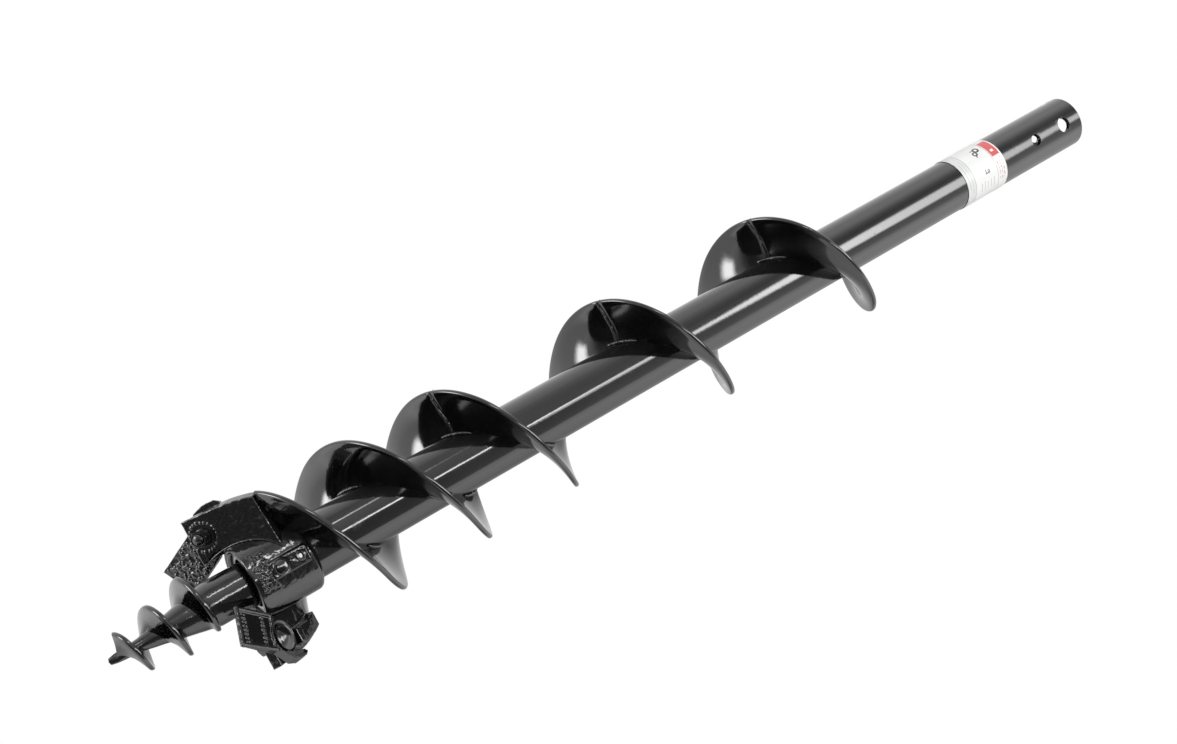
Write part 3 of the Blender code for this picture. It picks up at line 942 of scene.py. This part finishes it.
def make_fasteners(letter, turn):
    """The domed carriage bolt, and under the plate its washer and chamfered nut."""
    seat = seat_matrix(letter, turn)
    top = TOOTH_THICKNESS + GAP
    head_r, rise = 0.0124, 0.0053
    dome_r = (head_r**2 + rise**2) / (2 * rise)
    spread = math.degrees(math.asin(head_r / dome_r))
    dome = corner(0, top + rise - dome_r, dome_r, 90, 90 - spread + 4, 12)
    dome[0] = (0, dome[0][1])
    under = -GAP - WING_THICKNESS
    washer_low = under - 0.0015
    nut_low = washer_low - GAP - NUT_HEIGHT
    end = nut_low - 0.0029
    profile = [*dome, (head_r - 0.0001, top + 0.0006), (head_r - 0.0006, top + 0.0001), (BOLT_R, top)]
    threads = [(BOLT_R, under - 0.0005)]
    z = nut_low + 0.0006
    while z > end + 0.0014:
        threads += [(BOLT_R, z), (0.00425, z - 0.0008)]
        z -= 0.0016
    bolt = turned("bolt", [*profile, *threads, (0.0042, end + 0.0006), (0.0034, end), (0, end)], 64)
    place(bolt, f"carriage_bolt_{letter}", FASTENER, seat, 40, "painted_fastener", f"tooth_bolt_{letter}")
    ring = [
        *corner(0.0075, under - 0.0006, 0.0003, 90, 0, 2),
        *corner(0.0075, washer_low + 0.0003, 0.0003, 0, -90, 2),
        (BOLT_HOLE_R, washer_low), (BOLT_HOLE_R, under - 0.0003),
    ]
    washer = turned("washer", ring, 64, closed=True)
    place(washer, f"flat_washer_{letter}", FASTENER, seat, 40, "painted_fastener", f"tooth_washer_{letter}")
    nut = plate("nut", corner(0, 0, NUT_FLATS / math.sqrt(3), 0, 300, 5), nut_low, nut_low + NUT_HEIGHT)
    wide = NUT_FLATS / 2 + 0.0002
    chamfers = [
        (0, nut_low + 0.0071), (wide, nut_low + 0.0071), (wide + 0.0025, nut_low + 0.0057),
        (wide + 0.0025, nut_low + 0.0013), (wide, nut_low - 0.0001), (0, nut_low - 0.0001),
    ]
    boolean(nut, "INTERSECT", turned("cone", chamfers, 96))
    boolean(nut, "DIFFERENCE", rod("hole", 0.00505, 0.03, -0.05, 48))
    bevelled(nut, 0.0003, 2, 25)
    place(nut, f"hex_nut_{letter}", FASTENER, seat, 28, "painted_fastener", f"tooth_nut_{letter}")


# Pilot


def make_pilot_core():
    """The round shank, its cone and the flattened lead point."""
    profile = [(0, SHANK_TOP), (SHANK_R - 0.002, SHANK_TOP), (SHANK_R - SKIN, SHANK_TOP - 0.002)]
    profile += [(SHANK_R - SKIN, z) for z in (-1.04, -1.07, -1.085, -1.10, SHANK_BOTTOM + 0.002)]
    cone_steps = 14
    for step in range(cone_steps + 1):
        share = step / cone_steps
        radius = SHANK_R - SKIN + (CONE_BOTTOM_R - SHANK_R) * share
        profile.append((radius, SHANK_BOTTOM + (CONE_BOTTOM - SHANK_BOTTOM) * share))
    profile += [(0.0053, -1.190), (0.0043, -1.198), (0.0034, -1.205)]
    profile += [(0.0022, TIP_Z + 0.0012), (0, TIP_Z + SKIN)]
    core = turned("pilot_spindle", profile, 96)
    hole = rod("hole", PILOT_PIN_HOLE_R, 0.05, -0.05, 40)
    boolean(core, "DIFFERENCE", moved(hole, across(PILOT_PIN_Z, 1)))
    for vertex in core.data.vertices:
        if vertex.co.z < SHANK_BOTTOM:
            wave = noise.noise(vertex.co * 130)
            vertex.co += Vector((vertex.co.x, vertex.co.y, 0)).normalized() * wave * 0.0002
        flat = max(0.0, min(1.0, (-1.190 - vertex.co.z) / 0.020))
        vertex.co.x *= 1 + 0.35 * flat
        vertex.co.y *= 1 - 0.55 * flat
    place(core, "pilot_spindle", PILOT, HEAD, 40, "gloss_black_paint", "pilot_core")


# The fin's outer radius by height
FIN_ENVELOPE = (
    (-1.105, 0.0225), (-1.1175, 0.0226), (-1.1220, 0.0300), (-1.1290, 0.0362), (-1.1485, 0.0304),
    (-1.163, 0.0283), (-1.1835, 0.0245), (-1.201, 0.0214), (-1.212, 0.0195),
)


def envelope(z):
    """The fin's outer radius at a height."""
    for (upper, wide), (lower, narrow) in zip(FIN_ENVELOPE, FIN_ENVELOPE[1:]):
        if z >= lower:
            return wide + (narrow - wide) * (upper - z) / (upper - lower)
    return FIN_ENVELOPE[-1][1]


def core_radius(z):
    if z > SHANK_BOTTOM:
        return SHANK_R
    if z > CONE_BOTTOM:
        return SHANK_R + (CONE_BOTTOM_R - SHANK_R) * (SHANK_BOTTOM - z) / (SHANK_BOTTOM - CONE_BOTTOM)
    return max(0.001, CONE_BOTTOM_R * (z - TIP_Z) / (CONE_BOTTOM - TIP_Z))


def fin_drop(radius):
    """How far the raked fin lies below its line at full reach."""
    return (PILOT_FIN_REACH - radius) * PILOT_FIN_RAKE


def make_pilot_fin():
    """The raked helical fin with a rounded rim, a thicker root and an uneven hand-ground edge."""
    steps = 300
    shape = bmesh.new()
    rings = []
    top = math.radians(PILOT_FIN_START)
    for step in range(steps + 1):
        share = step / steps
        angle = top - PILOT_FIN_TURNS * TAU * share
        z = PILOT_FIN_TOP - PILOT_FIN_TURNS * PILOT_PITCH * share
        root = outer = 0.02
        for _ in range(6):
            root = core_radius(z - fin_drop(root))
            outer = envelope(z - fin_drop(outer))
        root -= 0.0012
        uneven = 0.0003 * noise.noise(Vector((angle * 1.6, 3.0, 0)))
        outer = max(root + 0.0022, outer - 0.0003 + uneven)
        half = 0.0020 * (0.72 if step in (0, steps) else 1.0)
        ring = []
        for side in (-1, 1):
            spots = []
            for part in range(7):
                reach = part / 6
                radius = root + (outer - half * 0.8 - root) * reach
                swell = 0.0016 * max(0.0, 1 - reach * 3.2)
                spots.append((radius, side * (half + swell)))
            if side > 0:
                ring += list(reversed(spots))
                continue
            ring += spots
            for degrees in (-60, -30, 0, 30, 60):
                bend = math.radians(degrees)
                ring.append((outer - half * 0.8 + half * 0.8 * math.cos(bend), half * math.sin(bend)))
        row = []
        ground = max(0.0, share - 0.93) / 0.07
        for radius, offset in ring:
            lean = math.sqrt(1 + (PILOT_PITCH / TAU / max(radius, 0.008)) ** 2 + PILOT_FIN_RAKE**2)
            back = math.radians(38) * ground * max(0.0, 1 - (radius - root) / (outer - root))
            height = z - fin_drop(radius) + PILOT_PITCH * back / TAU
            row.append(shape.verts.new(polar(radius, angle + back, height + offset * lean)))
        rings.append(row)
    fin = skinned("pilot_fin", shape, rings)
    place(fin, "pilot_fin", PILOT, HEAD, 40, "gloss_black_paint", "pilot_flight")


def make_pin():
    """The spring pin's flared head and the socket set screw, both sunk in the collar's pad."""
    face = COLLAR_R + PAD_RISE + GAP
    top = face + 0.0018
    profile = [
        (0, top - 0.0006), (0.0028, top - 0.0009), (0.0046, top - 0.0013), (0.0058, top - 0.0004),
        (0.0069, top), (0.0078, top - 0.0005), (0.0082, top - 0.0011), (0.0081, face + 0.0001),
        (0.0060, face), (0.0060, -0.0368), (0.0052, -0.0372), (0, -0.0372),
    ]
    pin = turned("retaining_pin", profile, 64)
    for vertex in pin.data.vertices:
        if vertex.co.z > face:
            vertex.co.z -= 0.0003 * (0.5 + 0.5 * noise.noise(vertex.co * 180))
    placed = HEAD @ across(PILOT_PIN_Z, -1)
    place(pin, "retaining_pin", CASTING, placed, 40, "painted_fastener", "pilot_pin")
    low, high = TUBE_R + 0.0007, COLLAR_R + PAD_RISE + 0.0008
    profile = [
        (0, high - 0.0005), (0.0040, high), (0.0049, high - 0.0009),
        (0.0049, low + 0.0006), (0.0043, low), (0, low),
    ]
    screw = turned("set_screw", profile, 48)
    key = plate("key", corner(0, 0, 0.0026, 0, 300, 5), high - 0.0035, high + 0.001)
    boolean(screw, "DIFFERENCE", key)
    placed = HEAD @ across(SET_SCREW_Z, -1)
    place(screw, "socket_set_screw", FASTENER, placed, 35, "painted_fastener", "collar_set_screw")


# Studio

# The white sweep's level by azimuth in the head's frame: high up, at eye level, and below
SWEEP = (
    (
        (0, 1.9), (15, 2.2), (28, 1.9), (45, 1.0), (62, 0.62), (72, 1.0), (122, 1.3), (140, 1.5), (153, 2.6),
        (168, 2.7), (186, 1.95), (210, 1.25), (232, 0.9), (250, 0.58), (268, 0.9), (285, 1.3), (345, 1.75),
    ),
    (
        (0, 1.85), (12, 1.5), (24, 0.7), (34, 1.0), (60, 1.8), (75, 1.4), (88, 1.2), (98, 0.40), (106, 0.20),
        (146, 0.20), (150, 2.5), (170, 2.4), (192, 1.6), (207, 0.8), (222, 0.45), (255, 0.45), (285, 1.2),
        (315, 1.8), (340, 2.1),
    ),
    (
        (0, 2.2), (30, 1.9), (45, 1.3), (60, 0.65), (75, 0.30), (92, 0.20), (110, 0.32), (130, 0.8),
        (150, 1.8), (180, 2.4), (240, 1.7), (270, 2.5), (285, 3.0), (300, 2.4), (315, 1.8), (335, 1.9),
    ),
)

# The softbox's middle, and its half width in degrees and its level by elevation
SOFTBOX_AZIMUTH = 97.0
SOFTBOX_HALF = (
    (22, 0.0), (26, 1.5), (30, 4.5), (32, 10.0), (36, 17.0), (40, 18.0), (43, 11.0), (62, 13.0), (72, 0.0),
)
SOFTBOX_LEVEL = ((22, 17.0), (34, 16.0), (38, 11.0), (43, 8.0), (72, 8.0))

# Strip lights and the lamp below: azimuth, half width, lowest and highest elevation, level
STRIPS = ((92.0, 2.3, -8, 27, 20.0), (50.0, 2.1, -8, 17, 20.0), (2.0, 16.0, -68, -46, 18.0))
DIFFUSE_SHARE = 0.10


def make_world():
    """A white sweep that reads white to the camera, and grey panels and a softbox in the paint."""
    world = bpy.data.worlds.new("studio")
    bpy.context.scene.world = world
    world.use_nodes = True
    nodes, links = world.node_tree.nodes, world.node_tree.links
    nodes.clear()

    def calc(operation, first, second=0.0, third=0.0):
        node = nodes.new("ShaderNodeMath")
        node.operation = operation
        for socket, value in zip(node.inputs, (first, second, third)):
            if isinstance(value, bpy.types.NodeSocket):
                links.new(value, socket)
            else:
                socket.default_value = value
        return node.outputs[0]

    def curve(socket, points, top):
        """A value read off straight lines between (position, value) points."""
        node = nodes.new("ShaderNodeValToRGB")
        links.new(socket, node.inputs[0])
        elements = node.color_ramp.elements
        elements[0].position, elements[1].position = points[0][0], points[-1][0]
        for position, _ in points[1:-1]:
            elements.new(position)
        for element, (_, value) in zip(elements, points):
            element.color = (value / top, value / top, value / top, 1)
        return calc("MULTIPLY", node.outputs[0], top)

    def between(value, low, high, blur):
        """1 inside a span, with soft ends."""
        rise = calc("DIVIDE", calc("SUBTRACT", value, low), blur)
        fall = calc("DIVIDE", calc("SUBTRACT", high, value), blur)
        node = nodes.new("ShaderNodeMapRange")
        node.interpolation_type = "SMOOTHSTEP"
        node.inputs["From Min"].default_value = -1
        links.new(calc("MINIMUM", rise, fall), node.inputs["Value"])
        return node.outputs["Result"]

    split = nodes.new("ShaderNodeSeparateXYZ")
    links.new(nodes.new("ShaderNodeTexCoord").outputs["Generated"], split.inputs[0])
    x, y, z = split.outputs
    azimuth = calc("SUBTRACT", calc("ARCTAN2", y, x), HEAD_TURN)
    share = calc("FRACT", calc("DIVIDE", azimuth, TAU))
    elevation = calc("MULTIPLY", calc("ARCSINE", z), 180 / math.pi)
    high, middle, low = (curve(share, [(at / 360, level) for at, level in levels], 4) for levels in SWEEP)
    to_high = calc("MULTIPLY_ADD", elevation, 1 / 23, -12 / 23)
    to_low = calc("MULTIPLY", elevation, -1 / 50)
    glow = middle
    for other, amount in ((high, to_high), (low, to_low)):
        node = nodes.new("ShaderNodeMix")
        node.clamp_factor = True
        links.new(amount, node.inputs[0])
        links.new(glow, node.inputs[2])
        links.new(other, node.inputs[3])
        glow = node.outputs[0]
    height = calc("MULTIPLY_ADD", z, 0.5, 0.5)
    spread = [(0.5 + 0.5 * math.sin(math.radians(at)), half) for at, half in SOFTBOX_HALF]
    half = calc("MULTIPLY", curve(height, spread, 40), math.pi / 180)
    centre = math.radians(SOFTBOX_AZIMUTH)
    edge = between(azimuth, calc("SUBTRACT", centre, half), calc("ADD", half, centre), 0.11)
    level = curve(height, [(0.5 + 0.5 * math.sin(math.radians(at)), value) for at, value in SOFTBOX_LEVEL], 20)
    glow = calc("ADD", glow, calc("MULTIPLY", calc("MULTIPLY", edge, calc("GREATER_THAN", half, 0.01)), level))
    for at, wide, bottom, top, level in STRIPS:
        across = between(azimuth, math.radians(at - wide), math.radians(at + wide), math.radians(wide * 0.6))
        upright = between(elevation, bottom, top, 5.0)
        glow = calc("ADD", glow, calc("MULTIPLY", calc("MULTIPLY", across, upright), level))
    rays = nodes.new("ShaderNodeLightPath").outputs
    panel = nodes.new("ShaderNodeBackground")
    panel.inputs["Color"].default_value = (1, 1, 1, 1)
    soften = calc("MULTIPLY_ADD", rays["Is Diffuse Ray"], DIFFUSE_SHARE - 1, 1)
    links.new(calc("MULTIPLY", glow, soften), panel.inputs["Strength"])
    white = nodes.new("ShaderNodeBackground")
    white.inputs["Color"].default_value = (1, 1, 1, 1)
    mix = nodes.new("ShaderNodeMixShader")
    links.new(rays["Is Camera Ray"], mix.inputs[0])
    links.new(panel.outputs[0], mix.inputs[1])
    links.new(white.outputs[0], mix.inputs[2])
    links.new(mix.outputs[0], nodes.new("ShaderNodeOutputWorld").inputs[0])


def make_floor():
    size = 30
    shape = bmesh.new()
    bmesh.ops.create_grid(shape, x_segments=4, y_segments=4, size=size / 2)
    floor = new_object("studio_floor", to_mesh("studio_floor", shape))
    floor.location.z = FLOOR_Z
    m = Nodes("pale_floor")
    m.set("Base Color", m.mix(m.noise(0.8, 3), (0.80, 0.80, 0.79, 1), (0.83, 0.83, 0.82, 1)))
    m.set("Roughness", m.span(m.noise(6, 3), 0.3, 0.7, 0.72, 0.82))
    floor.data.materials.append(m.material)
    floor.visible_glossy = False


# The camera's place, and the directions of its right side and its back
CAMERA_LENS = 53.04
CAMERA_PLACE = Vector((0.17031165, 1.51196879, -1.42878511))
CAMERA_RIGHT = Vector((-0.44775695, 0.43053875, 0.78367))
CAMERA_BACK = Vector((0.09127632, 0.89386511, -0.43893))


def make_camera():
    camera = bpy.data.objects.new("camera", bpy.data.cameras.new("camera"))
    bpy.context.scene.collection.objects.link(camera)
    camera.data.lens = CAMERA_LENS
    camera.data.sensor_width = 36
    camera.data.clip_start = 0.05
    camera.data.clip_end = 100
    back = CAMERA_BACK.normalized()
    right = (CAMERA_RIGHT - back * CAMERA_RIGHT.dot(back)).normalized()
    up = back.cross(right)
    matrix = Matrix((right, up, back)).transposed().to_4x4()
    matrix.translation = CAMERA_PLACE
    camera.matrix_world = matrix
    bpy.context.scene.camera = camera


FLOOR_Z = TIP_Z - 0.75

scene = bpy.context.scene
scene.view_settings.view_transform = "Standard"

# Each paint's edge setting lightens its sharp edges: a painted highlight, with a little wear.
PAINT = black_paint("gloss_black")
PILOT = black_paint("pilot_black", roughness=0.06, peel=0.00004, cast_grain=0.00009)
WELD = black_paint("weld_black", roughness=0.12, peel=0.00006, cast_grain=0.00004)
CASTING = black_paint("casting_black", roughness=0.055, peel=0.00004, cast_grain=0.00005, edge_highlight_and_wear=0.5)
TOOTH = black_paint("tooth_black", roughness=0.10, peel=0.00005, cast_grain=0.00006, edge_highlight_and_wear=0.7)
FASTENER = black_paint("fastener_black", roughness=0.085, peel=0.00003, edge_highlight_and_wear=0.8)

make_tube()
make_label()
make_flights()
make_collar()
for side_letter, side_turn in (("a", 0.0), ("b", math.pi)):
    make_wing(side_letter, side_turn)
    make_tooth(side_letter, side_turn)
    make_fasteners(side_letter, side_turn)
make_pilot_core()
make_pilot_fin()
make_pin()
make_world()
make_floor()
make_camera()
